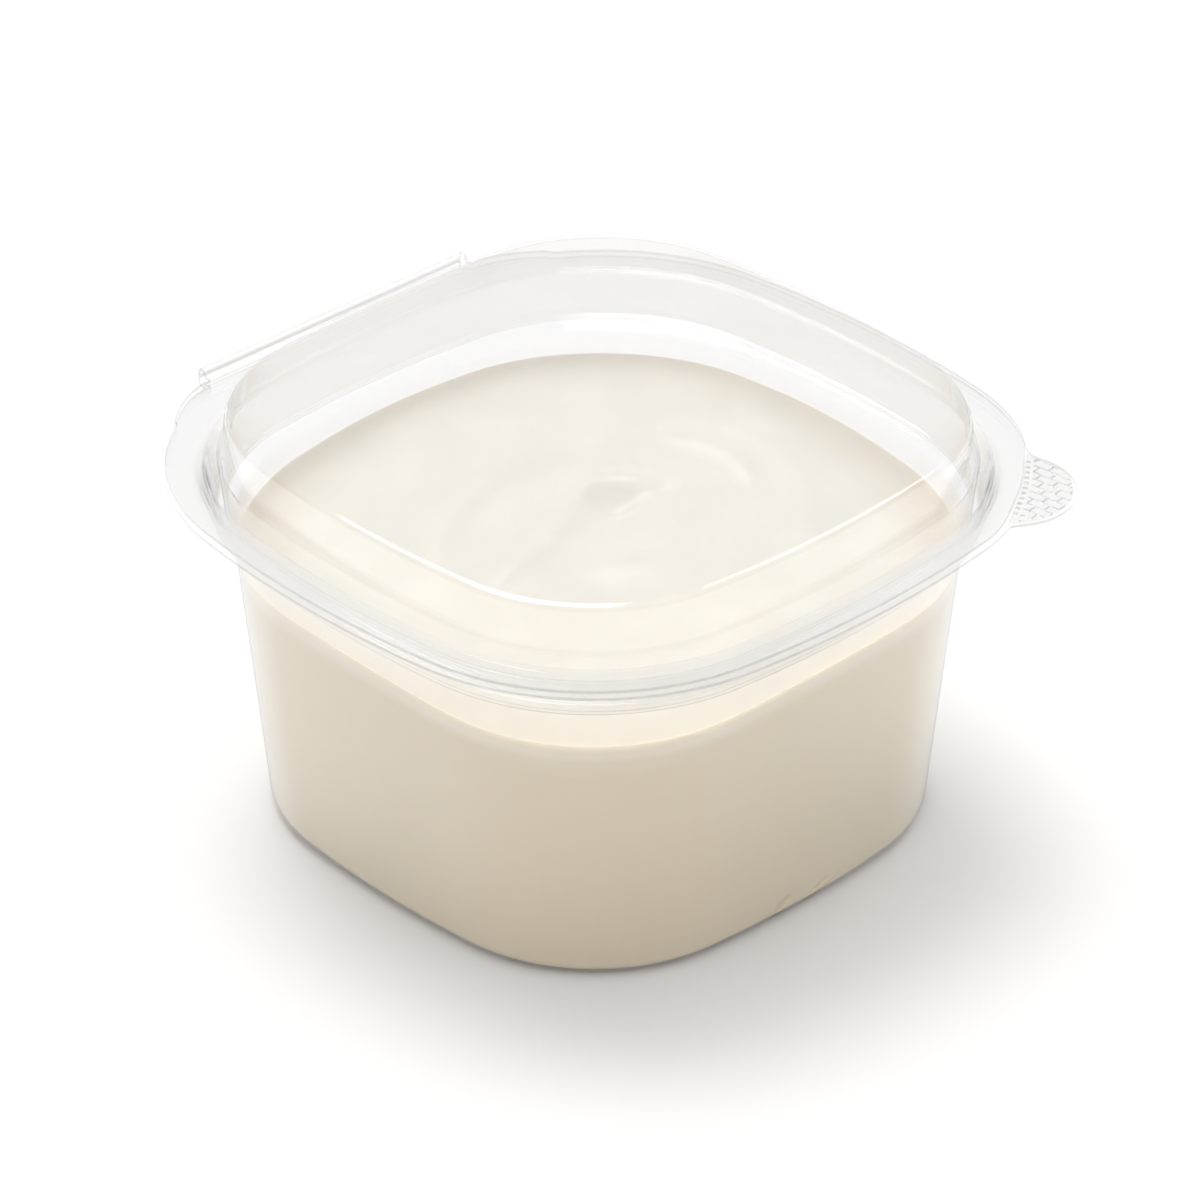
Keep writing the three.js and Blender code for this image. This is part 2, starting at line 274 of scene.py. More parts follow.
def thermoformedPet(name, straightTint, edgeTint):
    material, tree = newMaterial(name)
    facing = addNode(tree, "ShaderNodeLayerWeight", inputs={"Blend": 0.5}).outputs["Facing"]
    rise = addNode(tree, "ShaderNodeMath", {"operation": "POWER"}, {
        0: facing, 1: petLooks["glossRise"]})
    mirrored = addNode(tree, "ShaderNodeMapRange", inputs={
        "Value": rise.outputs[0], "To Min": petLooks["facingGloss"], "To Max": 1.0})
    along = addNode(tree, "ShaderNodeMath", {"operation": "POWER"}, {
        0: facing, 1: petLooks["edgeFall"]})
    letThrough = addNode(tree, "ShaderNodeMix", {"data_type": "RGBA"}, {
        "Factor": along.outputs[0],
        colourA: linearColour(straightTint),
        colourB: linearColour(edgeTint),
    })
    sentBack = addNode(tree, "ShaderNodeMix", {"data_type": "RGBA"}, {
        "Factor": along.outputs[0],
        colourA: white,
        colourB: linearColour(edgeTint),
    })
    through = addNode(tree, "ShaderNodeBsdfTransparent", inputs={
        "Color": letThrough.outputs[mixedColour]})
    gloss = addNode(tree, "ShaderNodeBsdfAnisotropic", inputs={
        "Color": sentBack.outputs[mixedColour], "Roughness": petLooks["roughness"]})
    sheet = addNode(tree, "ShaderNodeMixShader", inputs={
        0: mirrored.outputs[0], 1: through.outputs[0], 2: gloss.outputs[0]})
    addNode(tree, "ShaderNodeOutputMaterial", inputs={"Surface": sheet.outputs[0]})
    return material


# Mayonnaise: a thick emulsion, so light enters and scatters back cream coloured. Its free
# surface has a soft sheen; against the sheet it is wetted and looks deeper in colour. That
# deeper colour is also painted shade, for the sides, which lie in shade while the free surface
# is lit, and for a rim of the free surface along the wall.
mayonnaiseLooks = {
    "surface": "#ebe5d7",
    # the wetted side, whose deeper colour is also painted shade for the shaded sides
    "wetAndShadedColour": "#dbcdb3",
    "mottle": "#f0eadd",       # faint patches of air and oil
    "mottleSize": 9.0,         # millimetres
    "mottleDetail": 3.0,
    "mottleRoughness": 0.45,
    "mottleRange": (0.42, 0.7),        # of the noise, from no patch to a full one
    "scatter": (1.0, 0.72, 0.42),      # red goes furthest, so the shade is warm
    "scatterReach": 1.6,       # millimetres
    "ior": 1.46,               # near that of its oil
    "roughness": 0.3,
    "sheen": 0.6,
}


def whippedMayonnaise():
    material, tree = newMaterial("whipped mayonnaise")
    # How wetted each point looks and how much painted shade it gets: the sides, and a rim of the
    # free surface by the wall
    wetAndShade = addNode(tree, "ShaderNodeAttribute", {"attribute_name": "wetAndShade"})
    place = addNode(tree, "ShaderNodeTexCoord").outputs["Object"]
    patches = addNode(tree, "ShaderNodeTexNoise", inputs={
        "Vector": place,
        "Scale": 1 / (mayonnaiseLooks["mottleSize"] * metresPerMillimetre),
        "Detail": mayonnaiseLooks["mottleDetail"],
        "Roughness": mayonnaiseLooks["mottleRoughness"],
    })
    patchy = addNode(tree, "ShaderNodeMapRange", inputs={
        "Value": patches.outputs["Fac"],
        "From Min": mayonnaiseLooks["mottleRange"][0],
        "From Max": mayonnaiseLooks["mottleRange"][1],
    })
    free = addNode(tree, "ShaderNodeMix", {"data_type": "RGBA"}, {
        "Factor": patchy.outputs[0],
        colourA: linearColour(mayonnaiseLooks["surface"]),
        colourB: linearColour(mayonnaiseLooks["mottle"]),
    })
    colour = addNode(tree, "ShaderNodeMix", {"data_type": "RGBA"}, {
        "Factor": wetAndShade.outputs["Fac"],
        colourA: free.outputs[mixedColour],
        colourB: linearColour(mayonnaiseLooks["wetAndShadedColour"]),
    })
    body = addNode(tree, "ShaderNodeBsdfPrincipled", {"subsurface_method": "BURLEY"}, {
        "Base Color": colour.outputs[mixedColour],
        "Roughness": mayonnaiseLooks["roughness"],
        "IOR": mayonnaiseLooks["ior"],
        "Specular IOR Level": mayonnaiseLooks["sheen"],
        "Subsurface Weight": 1.0,
        "Subsurface Radius": mayonnaiseLooks["scatter"],
        "Subsurface Scale": mayonnaiseLooks["scatterReach"] * metresPerMillimetre,
    })
    addNode(tree, "ShaderNodeOutputMaterial", inputs={"Surface": body.outputs[0]})
    return material


# The tub, from the floor up to the flange: half-widths, corner radii and heights outside
tub = {
    "panel": 26.0,             # flat middle of the floor
    "channelRise": 0.8,        # stiffening channel between the middle and the foot
    "channelWidth": 4.6,
    "footHalfWidth": 40.2,
    "footCorner": 24.9,
    "bottomRadius": 2.6,       # rounded edge between the foot and the wall
    "bottomTurn": (-90, -8),   # degrees, where that edge starts and ends
    "bottomPoints": 12,
    "wallBottom": (43.2, 27.9, 7.0),
    "lowWallRows": 12,         # close rows there, which the dents need
    "wallTop": (47.2, 32.6, 46.9),
    "ledge": (49.0, 32.6, 48.2),
    "collarTop": (51.1, 33.4, 54.95),
    "rim": (55.4, 37.0, 54.95),
}

# The hinge: an oval bead that each half of the sheet bends round, and the fill beside it
hinge = {
    "length": 51.2,
    "foldLine": 54.5,          # where the flange ends and the bead begins
    "flat": 0.4,               # flat strip after the fold line
    "bend": (0.5, 0.05),       # start and control point of its turn into the oval, before it
    "bendPoints": 6,
    "y": 56.4,                 # middle of the oval
    "z": 55.85,
    "ovalY": 1.0,
    "ovalZ": 1.7,
    "ovalPoints": 22,
    "steepestMeet": 0.9,       # sine of the steepest angle at which the sheet joins the oval
    "slit": 0.3,
    "webReach": 37.0,          # the fill beside the bead: where it leaves the flange
    "webY": 49.1,
    "webBend": (31.5, 54.0),   # control point of its curve
    "webPastBead": 1.5,        # how far beside the bead's end it meets the fold line
    "webPoints": 12,
}

# The finger tab: a round lobe on one corner with an embossed grip
tab = {
    "radius": 9.9,
    "x": 36.9,
    "y": -44.8,
    "turn": -56.0,             # degrees from +X to the way it points
    "rootReach": 13.2,         # half its width where it leaves the flange
    "rootLine": 0.2,           # and how far out that is from the lobe's middle
    "rootBend": (0.5, 1.4),    # control point of the small round there, aside from the neck
    "rootPoints": 8,
    "neckAngle": 0.36,         # radians, where the lobe meets that round
    "lobePoints": 60,
    "columnSpan": 15.0,        # degrees to each side with closer columns
    "columnStep": 0.3,
}


def tubProfile():
    share = tub["footCorner"] / tub["footHalfWidth"]
    rise = tub["channelRise"]
    start, end = tub["panel"], tub["panel"] + tub["channelWidth"]
    floor = [(0, 0), (start, 0), (start + rise, rise), (end - rise, rise), (end, 0)]
    edge = roundedEdge(tub["footHalfWidth"], tub["footCorner"], tub["bottomRadius"],
                       tub["bottomRadius"], *tub["bottomTurn"], tub["bottomPoints"])
    lowWall = np.linspace(edge[-1], tub["wallBottom"], tub["lowWallRows"], endpoint=False)[1:]
    return [
        *[(halfWidth, halfWidth * share, z) for halfWidth, z in floor],
        *edge,
        *lowWall,
        tub["wallBottom"], tub["wallTop"], tub["ledge"], tub["collarTop"], tub["rim"],
    ]


# Small knocks low on the front wall, each pushed in towards the middle of the tub
dents = {
    "marks": [
        {"x": -4.2, "z": 2.7, "width": 0.8, "tall": 1.1, "lean": 1.3, "depth": 1.1},
        {"x": 3.2, "z": 2.6, "width": 0.9, "tall": 0.9, "lean": 2.6, "depth": 0.8},
    ],
    "frontOf": -30,            # only the wall at a lower y is pushed
    "footHeight": 3,           # below this the knock also lifts the foot
    "footLift": 0.35,          # by this share of its depth
    "directions": (-100, -81),         # degrees from +X, where the columns lie closer
    "columnStep": 0.25,
}


def dentColumns():
    return np.radians(np.arange(*dents["directions"], dents["columnStep"]))


def pressDents(grid):
    x, y, z = grid[..., 0], grid[..., 1], grid[..., 2]
    push = 0
    for mark in dents["marks"]:
        up = z - mark["z"]
        aside = x - mark["x"] - mark["lean"] * up
        shape = np.exp(-((aside / mark["width"]) ** 2) - (up / mark["tall"]) ** 2)
        push = push + mark["depth"] * shape
    push = push * (y < dents["frontOf"])
    pressed = grid.copy()
    pressed[..., 1] += push
    pressed[..., 2] += push * dents["footLift"] * np.clip(1 - z / dents["footHeight"], 0, 1)
    return pressed


# The flange's fill beside the hinge bead, as a radius in each direction
def webRadius(angles):
    end = (hinge["length"] / 2 + hinge["webPastBead"], hinge["foldLine"])
    curve = quadraticCurve((hinge["webReach"], hinge["webY"]), hinge["webBend"], end,
                           hinge["webPoints"])
    return outlineRadius(np.vstack([curve, curve[::-1] * (-1, 1)]), angles)


# The tab's lobe and the small rounds at its root, as a radius in each direction
def tabRadius(angles):
    neck = tab["radius"] * math.cos(tab["neckAngle"])
    neckY = tab["radius"] * math.sin(tab["neckAngle"])
    bendX, bendY = tab["rootBend"]
    curve = quadraticCurve((-tab["rootReach"], tab["rootLine"]), (-neck - bendX, bendY),
                           (-neck, neckY), tab["rootPoints"])
    arc = np.linspace(math.pi - tab["neckAngle"], tab["neckAngle"], tab["lobePoints"])
    lobe = np.column_stack([np.cos(arc), np.sin(arc)]) * tab["radius"]
    local = np.vstack([curve, lobe, curve[::-1] * (-1, 1)])
    turn = math.radians(tab["turn"] - 90)
    c, s = math.cos(turn), math.sin(turn)
    x = local[:, 0] * c - local[:, 1] * s + tab["x"]
    y = local[:, 0] * s + local[:, 1] * c + tab["y"]
    return outlineRadius(np.column_stack([x, y]), angles)


# The section of one sheet's half of the bead, from the fold line to the hinge line
def beadPath(flangeMiddle, side):
    thickness = formedSheet["thickness"]
    ovalY, ovalZ = hinge["ovalY"] - thickness / 2, hinge["ovalZ"] - thickness / 2
    drop = abs(hinge["z"] - flangeMiddle)
    meet = math.asin(min(hinge["steepestMeet"], drop / ovalZ))
    last = math.pi - math.asin(hinge["slit"] / 2 / ovalZ)
    turns = np.linspace(meet, last, hinge["ovalPoints"])
    oval = np.column_stack([hinge["y"] - ovalY * np.cos(turns),
                            hinge["z"] + side * ovalZ * np.sin(turns)])
    start, control = [(oval[0][0] - before, flangeMiddle) for before in hinge["bend"]]
    bend = quadraticCurve(start, control, oval[1], hinge["bendPoints"])
    foldLine = hinge["foldLine"]
    flat = [(foldLine, flangeMiddle), (foldLine + hinge["flat"], flangeMiddle)]
    return np.vstack([flat, bend[:-1], oval[1:]])


# The strip of sheet along the hinge, from the flange round its half of the bead. x holds the
# places of its columns, and the finishes say which faces are cut edges
def beadStrip(flangeMiddle, side, x):
    path = beadPath(flangeMiddle, side)
    along = np.gradient(path, axis=0)
    along[0] = (1, 0)
    along /= np.linalg.norm(along, axis=1)[:, None]
    left = np.column_stack([-along[:, 1], along[:, 0]]) * formedSheet["thickness"] / 2
    section = np.vstack([path - left, (path + left)[::-1]])
    rows, columns = len(section), len(x)
    points = np.stack([np.broadcast_to(values, (rows, columns))
                       for values in (x, section[:, 0:1], section[:, 1:2])], axis=2)
    faces = gridFaces(rows, columns, False)
    finishes = [0] * len(faces)
    tip = (len(path) - 1) * (columns - 1)  # first face of the edge at the hinge line
    finishes[tip:tip + columns - 1] = [1] * (columns - 1)
    for column in (0, columns - 1):        # the two ends of the strip
        for row in range(len(path) - 1):
            other = rows - 1 - row
            corners = [(row, column), (row + 1, column), (other - 1, column), (other, column)]
            faces.append(tuple(r * columns + c for r, c in corners))
            finishes.append(1)
    return points.reshape(-1, 3), faces, finishes


# Where the hinge bead ends, as two directions
def hingeCorners():
    end = math.atan2(hinge["foldLine"], hinge["length"] / 2)
    return np.array([end, math.pi - end])


# One formed sheet: its two faces, the cut edge round the rim, and its half of the hinge bead
def formSheet(name, rightProfile, leftProfile, rim, angles, beadSide, materials, press):
    first, last = hingeCorners() + (-1e-6, 1e-6)       # the corners' own columns are inside
    inHinge = (angles > first) & (angles < last)
    rim = np.where(inHinge, hinge["foldLine"] / np.where(inHinge, np.sin(angles), 1), rim)
    surfaces = []
    for profile in (rightProfile, leftProfile):
        grid = press(squareGrid(profile, angles))
        reach = np.hypot(grid[-1, :, 0], grid[-1, :, 1])
        grid[-1, :, :2] *= (rim / reach)[:, None]
        surfaces.append(grid)
    rows, columns = len(rightProfile), len(angles)
    hingeColumns = np.flatnonzero(inHinge)

    def atHinge(row, column):
        return row == rows - 1 and inHinge[column] and inHinge[(column + 1) % columns]

    # The rows run out over one face, across the cut edge and back over the other face
    points = np.vstack([surfaces[0], surfaces[1][::-1]]).reshape(-1, 3)
    faces = gridFaces(2 * rows, columns, True, atHinge)
    finishes = [0] * len(faces)
    cutEdge = (rows - 1) * columns
    edgeFaces = columns - (len(hingeColumns) - 1)
    finishes[cutEdge:cutEdge + edgeFaces] = [1] * edgeFaces

    flangeMiddle = (rightProfile[-1][2] + leftProfile[-1][2]) / 2
    stripPoints, stripFaces, stripFinishes = beadStrip(
        flangeMiddle, beadSide, surfaces[0][-1, hingeColumns, 0])
    points, faces = joinParts([(points, faces), (stripPoints, stripFaces)])
    return makePiece(name, points, faces, materials, finishes + stripFinishes)


def makeTub(materials):
    print("forming the tub")
    tabAngle = math.atan2(tab["y"], tab["x"])
    aroundTab = directionsAround(tabAngle, tab["columnSpan"], tab["columnStep"])
    angles = columnAngles(hingeCorners(), aroundTab, dentColumns())
    outside = softenProfile(tubProfile(), formedSheet["bendRadius"], formedSheet["longestRow"])
    inside = offsetProfile(outside, formedSheet["thickness"])
    rim = squareRadius(angles, tub["rim"][0], tub["rim"][1])
    rim = np.maximum(np.maximum(rim, webRadius(angles)), tabRadius(angles))
    return formSheet("tub_sheet", outside, inside, rim, angles, -1, materials, pressDents)


# The lid: its upper surface, from the middle of the dome out to the flange
lid = {
    "height": 64.15,
    "domeHalfWidth": 46.3,
    "domeCorner": 26.8,
    "shoulderRadius": 1.2,     # rounded edge of the dome
    "shoulderPoints": 12,
    "bandTop": (47.55, 28.7, 57.8),    # low step in the dome's wall
    "bandFoot": (47.9, 29.2, 57.3),
    "plugTop": (47.9, 29.9, 56.45),
    "plugInner": (47.5, 31.0, 49.5),   # bottom of the groove that plugs into the tub
    "plugOuter": (48.4, 31.6, 49.5),
    "grooveTop": (50.05, 32.9, 56.45),
    "rim": (55.0, 35.6, 56.45),
    "bendRadius": 0.45,        # its bends are sharper than the tub's
    "longestRow": 0.9,         # and its rows closer, which the lugs need
    "tabRelief": 1.2,          # how far its edge is cut back over the tab
    "tabReliefSpan": 15.0,     # degrees to each side
    "tabReliefFade": 0.8,      # share of that span which it takes to reach its depth
}

# Small recesses that are pressed into the dome's wall at two of its corners
lugs = {
    "corners": (135.0, -45.0),         # degrees from +X
    "width": 4.2,              # half, along the wall
    "low": 57.2,
    "high": 61.6,
    "depth": 0.8,
    "edge": 0.7,               # how softly they begin
    "columnSpan": 8.0,         # degrees to each side with closer columns
    "columnStep": 0.4,
}


def pressLugs(grid):
    x, y, z = grid[..., 0], grid[..., 1], grid[..., 2]
    radius = np.hypot(x, y)
    edge = lugs["edge"]
    inBand = smoothStep(z - lugs["low"], 0, edge) * smoothStep(lugs["high"] - z, 0, edge)
    push = 0
    for corner in lugs["corners"]:
        away = degreesAway(np.degrees(np.arctan2(y, x)), corner)
        aside = lugs["width"] - np.radians(away) * radius
        push = push + lugs["depth"] * smoothStep(aside, 0, edge) * inBand
    share = 1 - push / np.maximum(radius, 1)
    return np.stack([x * share, y * share, z], axis=-1)


def lidProfile():
    radius = lid["shoulderRadius"]
    return [
        (0, 0, lid["height"]),
        *roundedEdge(lid["domeHalfWidth"] - radius, lid["domeCorner"] - radius,
                     lid["height"] - radius, radius, 90, 0, lid["shoulderPoints"]),
        lid["bandTop"], lid["bandFoot"], lid["plugTop"], lid["plugInner"], lid["plugOuter"],
        lid["grooveTop"], lid["rim"],
    ]


# The edge of the lid's flange, as a radius in each direction
def lidEdge(angles):
    tabAngle = math.degrees(math.atan2(tab["y"], tab["x"]))
    span = lid["tabReliefSpan"]
    away = degreesAway(np.degrees(angles), tabAngle)
    relief = lid["tabRelief"] * smoothStep(span - away, 0, span * lid["tabReliefFade"])
    return squareRadius(angles, lid["rim"][0], lid["rim"][1]) - relief


def makeLid(materials):
    print("forming the lid")
    aroundLugs = [directionsAround(math.radians(corner), lugs["columnSpan"], lugs["columnStep"])
                  for corner in lugs["corners"]]
    angles = columnAngles(hingeCorners(), *aroundLugs)
    upper = softenProfile(lidProfile(), lid["bendRadius"], lid["longestRow"])
    under = offsetProfile(upper, -formedSheet["thickness"])
    rim = np.maximum(lidEdge(angles), webRadius(angles))
    return formSheet("lid_sheet", under, upper, rim, angles, 1, materials, pressLugs)


# The grip embossed on the finger tab: rows of short ribs like brickwork, a line of dots along
# the tab's root, and the thin pad that they stand on
grip = {
    "margin": 0.6,             # plain strip inside the tab's edge
    "sunk": 0.03,              # how deep the ribs reach into the tab
    "rowTurn": -84.0,          # degrees from +X to the way the rows run
    "rowSpacing": 1.5,
    "rowReach": 12.0,          # half the length of a row before it is cut to the tab
    "rowStep": 0.2,
    "cellLength": 3.0,
    "cellReach": 5,            # cells to each side of the middle
    "crossPoints": 8,
    "ribsBeyondLid": 1.3,      # from the lid's edge to the first rib
    "ribWidth": 0.34,
    "ribHeight": 0.12,
    "ribPoints": 6,            # across a rib's section
    "shortestRib": 0.5,
    "tipLength": 0.25,         # a rib narrows over this length at each end
    "tipSize": 0.3,            # to this share of its section
    "dots": (-43.4, -57.0),    # first and last dot, degrees from +X
    "dotCount": 11,
    "dotBeyondLid": 0.6,
    "dotRadius": 0.36,
    "dotRings": ((1, -0.03), (0.8, 0.1), (0.35, 0.17)),    # share of the radius, and height
    "dotSides": 8,
    "padBeyondLid": 0.2,
    "padSpan": 12.0,           # degrees to each side
    "padPoints": 61,
    "padNarrowest": 0.3,       # it ends where it would be narrower
    "padHeights": (0.01, 0.03),        # its underside clears the tab, so no faces coincide
}


# Whether a place is inside the tab's plain margin and clear of the lid
def onGrip(place):
    inTab = np.hypot(place[0] - tab["x"], place[1] - tab["y"]) < tab["radius"] - grip["margin"]
    edge = lidEdge(np.arctan2(place[1], place[0]))
    return inTab and np.hypot(*place) > edge + grip["ribsBeyondLid"]


# The stretches of a line that lie on the grip, as pairs of end points
def stretchesOnGrip(line):
    stretches, stretch = [], []
    for place in [*line, None]:
        if place is not None and onGrip(place):
            stretch.append(place)
        elif stretch:
            stretches.append((stretch[0], stretch[-1]))
            stretch = []
    return [(start, end) for start, end in stretches
            if np.linalg.norm(end - start) >= grip["shortestRib"]]


# A rib, a dot and the pad, each as its points and faces; top is the tab's upper surface
def gripRib(start, end, top):
    forward = (end - start) / np.linalg.norm(end - start)
    aside = np.array([-forward[1], forward[0]])
    tip, tipSize, count = forward * grip["tipLength"], grip["tipSize"], grip["ribPoints"]
    sections = ((start, tipSize), (start + tip, 1), (end - tip, 1), (end, tipSize))
    last = len(sections) - 1
    points = []
    for place, size in sections:
        for turn in np.linspace(0, math.pi, count):
            flat = place + aside * math.cos(turn) * grip["ribWidth"] / 2 * size
            height = math.sin(turn) * grip["ribHeight"] * size
            points.append((*flat, top - grip["sunk"] + height))
    underside = [tuple(row * count + c for c in (0, count - 1, 2 * count - 1, count))
                 for row in range(last)]
    ends = [tuple(range(count)), tuple(last * count + c for c in reversed(range(count)))]
    return points, gridFaces(len(sections), count, False) + underside + ends


def gripDot(angle, top):
    radius = lidEdge(angle) + grip["dotBeyondLid"]
    middleX, middleY = radius * math.cos(angle), radius * math.sin(angle)
    sides, rings = grip["dotSides"], len(grip["dotRings"])
    points = []
    for share, height in grip["dotRings"]:
        for turn in np.radians(np.arange(0, 360, 360 / sides)):
            size = grip["dotRadius"] * share
            points.append((middleX + size * math.cos(turn), middleY + size * math.sin(turn),
                           top + height))
    ends = [tuple((rings - 1) * sides + c for c in range(sides)), tuple(reversed(range(sides)))]
    return points, gridFaces(rings, sides, True) + ends


def gripPad(top):
    turns = np.radians(np.linspace(-grip["padSpan"], grip["padSpan"], grip["padPoints"]))
    around = math.atan2(tab["y"], tab["x"]) + turns
    inner = lidEdge(around) + grip["padBeyondLid"]
    outer = tabRadius(around) - grip["margin"]
    wide = outer > inner + grip["padNarrowest"]
    around, inner, outer = around[wide], inner[wide], outer[wide]
    low, high = grip["padHeights"]
    section = ((inner, low), (outer, low), (outer, high), (inner, high), (inner, low))
    points = []
    for radius, up in section:
        heights = [top + up] * len(around)
        points.extend(zip(radius * np.cos(around), radius * np.sin(around), heights))
    corners = len(section) - 1         # the last row lies on the first
    ends = [tuple(row * len(around) + column for row in range(corners))
            for column in (0, len(around) - 1)]
    return points, gridFaces(len(section), len(around), False) + ends


# The first material is for the ribs and dots, the second for the pad
def makeGrip(materials):
    print("embossing the finger tab")
    turn = math.radians(grip["rowTurn"])
    alongRow = np.array([math.cos(turn), math.sin(turn)])
    acrossRow = np.array([-alongRow[1], alongRow[0]])
    top = tub["rim"][2] + formedSheet["thickness"]
    rowSteps = np.arange(-grip["rowReach"], grip["rowReach"], grip["rowStep"])
    crossSteps = np.linspace(0, grip["rowSpacing"], grip["crossPoints"])
    lines = []
    rowCount = int(tab["radius"] // grip["rowSpacing"]) + 1
    for row in range(-rowCount, rowCount + 1):
        middle = np.array([tab["x"], tab["y"]]) + acrossRow * row * grip["rowSpacing"]
        lines.append([middle + alongRow * step for step in rowSteps])
        shift = 0.5 * grip["cellLength"] * (row % 2)       # every second row, as in brickwork
        for cell in range(-grip["cellReach"], grip["cellReach"] + 1):
            start = middle + alongRow * (cell * grip["cellLength"] + shift)
            lines.append([start + acrossRow * step for step in crossSteps])

    marks = [gripRib(*stretch, top) for line in lines for stretch in stretchesOnGrip(line)]
    dotAngles = np.radians(np.linspace(*grip["dots"], grip["dotCount"]))
    marks += [gripDot(angle, top) for angle in dotAngles]
    pad = gripPad(top)
    points, faces = joinParts([*marks, pad])
    finishes = [0] * (len(faces) - len(pad[1])) + [1] * len(pad[1])
    return makePiece("tab_grip", points, faces, materials, finishes, sharpAngle=50)


# The mayonnaise: where it meets the wall, and the shape of its surface
filling = {
    "wallLevel": 43.1,
    "levelTilt": 0.021,        # rise per millimetre towards the +X +Y corner
    "cornerDip": 0.6,          # how much it sinks in the corners and climbs at the sides
    "crown": 0.9,
    "crownRise": 3,            # the higher, the nearer to the wall the crown is reached
    "cling": 0.3,              # how far it climbs the wall
    "clingReach": 3.6,
    "wallSpare": 1,            # the wall is read from this far under the last level row
                               # up to this far under its top
    "intoWall": 0.1,           # so that no air shows between it and the sheet
    "rings": 150,
    "ringCrowding": 1.25,      # above 1 the rings lie closer at the wall
    "straightSide": 3.5,       # where the side's level rows end, under the average contact
    "contactRows": 9,          # rows from there up to the contact line
    "wetShadeFade": 4.0,            # how far down it takes to look fully wetted and reach the full painted shade
    "rimWetShade": 0.5,             # how wetted and how shaded it looks at the contact line; the shade is painted
    "rimShadeReach": 13.0,          # and how far in over the surface that painted shade dies away
    "dimple": (7.0, 4.6),      # where the nozzle left it
    "dimpleDepth": 2.0,
    "dimpleRadius": 3.3,
    "markFade": 0.7,           # share of half a mark's span over which it dies away
    "wallCalm": 0.3,           # the lower, the nearer to the wall the marks reach full height
}

# The swirl round the dimple: arcs that die away at both ends, with their middle direction and
# half their span in degrees. A height below zero is a groove. The inner and the outer slope
# have their own widths.
swirlMarks = [
    {"x": 3, "y": -14, "radius": 35, "middle": 106, "span": 46,
     "height": 1.4, "inner": 2.6, "outer": 3.8},
    {"x": -23.8, "y": 45.1, "radius": 45, "middle": -72, "span": 19,
     "height": 1.35, "inner": 3.6, "outer": 2},
    {"x": 7.4, "y": 4.2, "radius": 5.8, "middle": 68, "span": 110,
     "height": 1.1, "inner": 1.9, "outer": 3.4},
    {"x": 8, "y": 3, "radius": 19.5, "middle": 2, "span": 38,
     "height": 1.1, "inner": 1.7, "outer": 2.2},
    {"x": 6, "y": 4.5, "radius": 28.5, "middle": -35, "span": 75,
     "height": 1.5, "inner": 2.8, "outer": 4.2},
    {"x": 6, "y": 4.5, "radius": 16.5, "middle": -105, "span": 60,
     "height": 0.9, "inner": 4, "outer": 3.4},
    {"x": 0, "y": -10, "radius": 48, "middle": 88, "span": 34,
     "height": 1, "inner": 3, "outer": 4},
    {"x": 8, "y": -8, "radius": 12, "middle": 68, "span": 36,
     "height": -0.8, "inner": 2.6, "outer": 2},
]


# Height of the contact line, and without the dip where the share is 0
def contactHeight(x, y, dipShare=1):
    corner = np.cos(4 * np.arctan2(y, x))
    level = filling["wallLevel"] + filling["levelTilt"] * (x + y)
    return level + filling["cornerDip"] * corner * dipShare


def swirlRelief(x, y):
    middleX, middleY = filling["dimple"]
    fromDimple = np.hypot(x - middleX, y - middleY) / filling["dimpleRadius"]
    relief = -filling["dimpleDepth"] * np.exp(-(fromDimple ** 2))
    for mark in swirlMarks:
        distance = np.hypot(x - mark["x"], y - mark["y"]) - mark["radius"]
        direction = np.degrees(np.arctan2(y - mark["y"], x - mark["x"]))
        turned = degreesAway(direction, mark["middle"])
        fade = smoothStep(mark["span"] - turned, 0, mark["span"] * filling["markFade"])
        width = np.where(distance < 0, mark["inner"], mark["outer"])
        relief = relief + mark["height"] * fade * np.exp(-((distance / width) ** 2))
    return relief


# Height of the surface; inward is 0 at the wall and 1 in the middle
def fillingHeight(x, y, inward, fromWall):
    edge = contactHeight(x, y, 1 - inward)
    rise = filling["crown"] * (1 - (1 - inward) ** filling["crownRise"])
    sink = filling["cling"] * (1 - np.exp(-fromWall / filling["clingReach"]))
    return edge + rise - sink + swirlRelief(x, y) * inward ** filling["wallCalm"]


